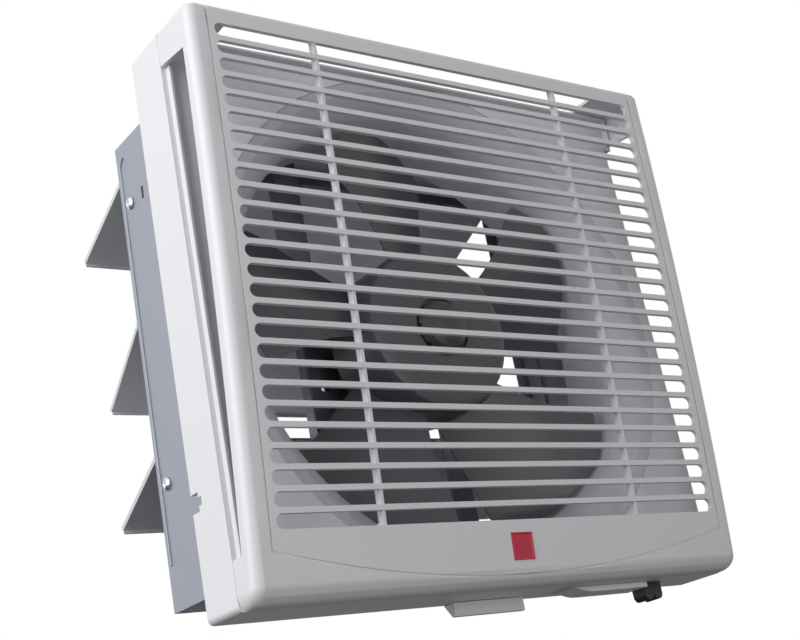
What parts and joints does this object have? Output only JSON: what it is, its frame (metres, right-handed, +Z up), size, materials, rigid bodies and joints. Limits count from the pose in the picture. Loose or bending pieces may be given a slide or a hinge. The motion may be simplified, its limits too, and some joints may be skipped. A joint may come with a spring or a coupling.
{
  "type": "wall exhaust fan",
  "caption": "Square wall-mounted exhaust fan with a slotted cover, bellmouth, steel body box, five-blade impeller and gravity shutter flaps at the back.",
  "frame": {"origin": "where the fan axis crosses the wall plane, the middle of the wall opening", "axes": "+Z up, -Y towards the room and the viewer, +Y out through the wall, +X to the right seen from the room"},
  "size_m": [0.4, 0.2452, 0.3863],
  "materials": {
    "cover": "satin moulded plastic, light grey",
    "base": "satin moulded plastic, off-white",
    "bellmouth": "satin moulded plastic, off-white",
    "steel": "silver-grey enamel on folded steel sheet",
    "flap": "mill-finish thin sheet",
    "bright": "zinc-plated steel",
    "motor": "grey enamel on pressed steel",
    "impeller": "dark grey moulded plastic",
    "spinner": "dark grey moulded plastic",
    "black": "black moulded plastic"
  },
  "bodies": {
    "housing": {"base_frame": "base", "bellmouth": "bellmouth", "body_side_left": "steel", "body_side_right": "steel", "body_top": "steel", "body_bottom": "steel", "hinge_strip_left": "steel", "hinge_strip_right": "steel", "motor_stay_left": "steel", "motor_stay_right": "steel", "motor_front_shell": "motor", "motor_rear_shell": "motor", "base_screw_1": "bright", "orifice_screw_1": "bright", "motor_screw_1": "bright", "stay_screw_1": "bright", "base_screw_2": "bright", "orifice_screw_2": "bright", "motor_screw_2": "bright", "stay_screw_2": "bright", "base_screw_3": "bright", "orifice_screw_3": "bright", "motor_screw_3": "bright", "stay_screw_3": "bright", "base_screw_4": "bright", "orifice_screw_4": "bright", "motor_screw_4": "bright", "stay_screw_4": "bright", "strip_screw_left_1": "bright", "strip_screw_left_2": "bright", "strip_screw_right_1": "bright", "strip_screw_right_2": "bright", "cord_gland": "black", "wire_cover": "base", "terminal_box": "base", "cover_catch": "cover"},
    "front_cover": {"front_grille": "cover"},
    "rotor": {"impeller": "impeller", "motor_shaft": "bright", "shaft_washer": "bright", "spinner_nut": "spinner"},
    "flap_1": {"shutter_flap_1": "flap", "flap_rod_1": "bright"},
    "flap_2": {"shutter_flap_2": "flap", "flap_rod_2": "bright"},
    "flap_3": {"shutter_flap_3": "flap", "flap_rod_3": "bright"}
  },
  "joints": [
    {"name": "impeller_spin", "type": "hinge", "parent": "housing", "child": "rotor", "pos_m": [0, 0, 0], "axis": [0, -1, 0], "continuous": true},
    {"name": "front_cover_pull", "type": "slide", "parent": "housing", "child": "front_cover", "axis": [0, -1, 0], "range_m": [0, 0.12]},
    {"name": "flap_1_swing", "type": "hinge", "parent": "housing", "child": "flap_1", "pos_m": [0, 0.077, 0.152], "axis": [1, 0, 0], "range_deg": [-66.4, 13.6]},
    {"name": "flap_2_swing", "type": "hinge", "parent": "housing", "child": "flap_2", "pos_m": [0, 0.077, 0.0505], "axis": [1, 0, 0], "range_deg": [-52.2, 27.8]},
    {"name": "flap_3_swing", "type": "hinge", "parent": "housing", "child": "flap_3", "pos_m": [0, 0.077, -0.051], "axis": [1, 0, 0], "range_deg": [-62.2, 17.8]}
  ]
}
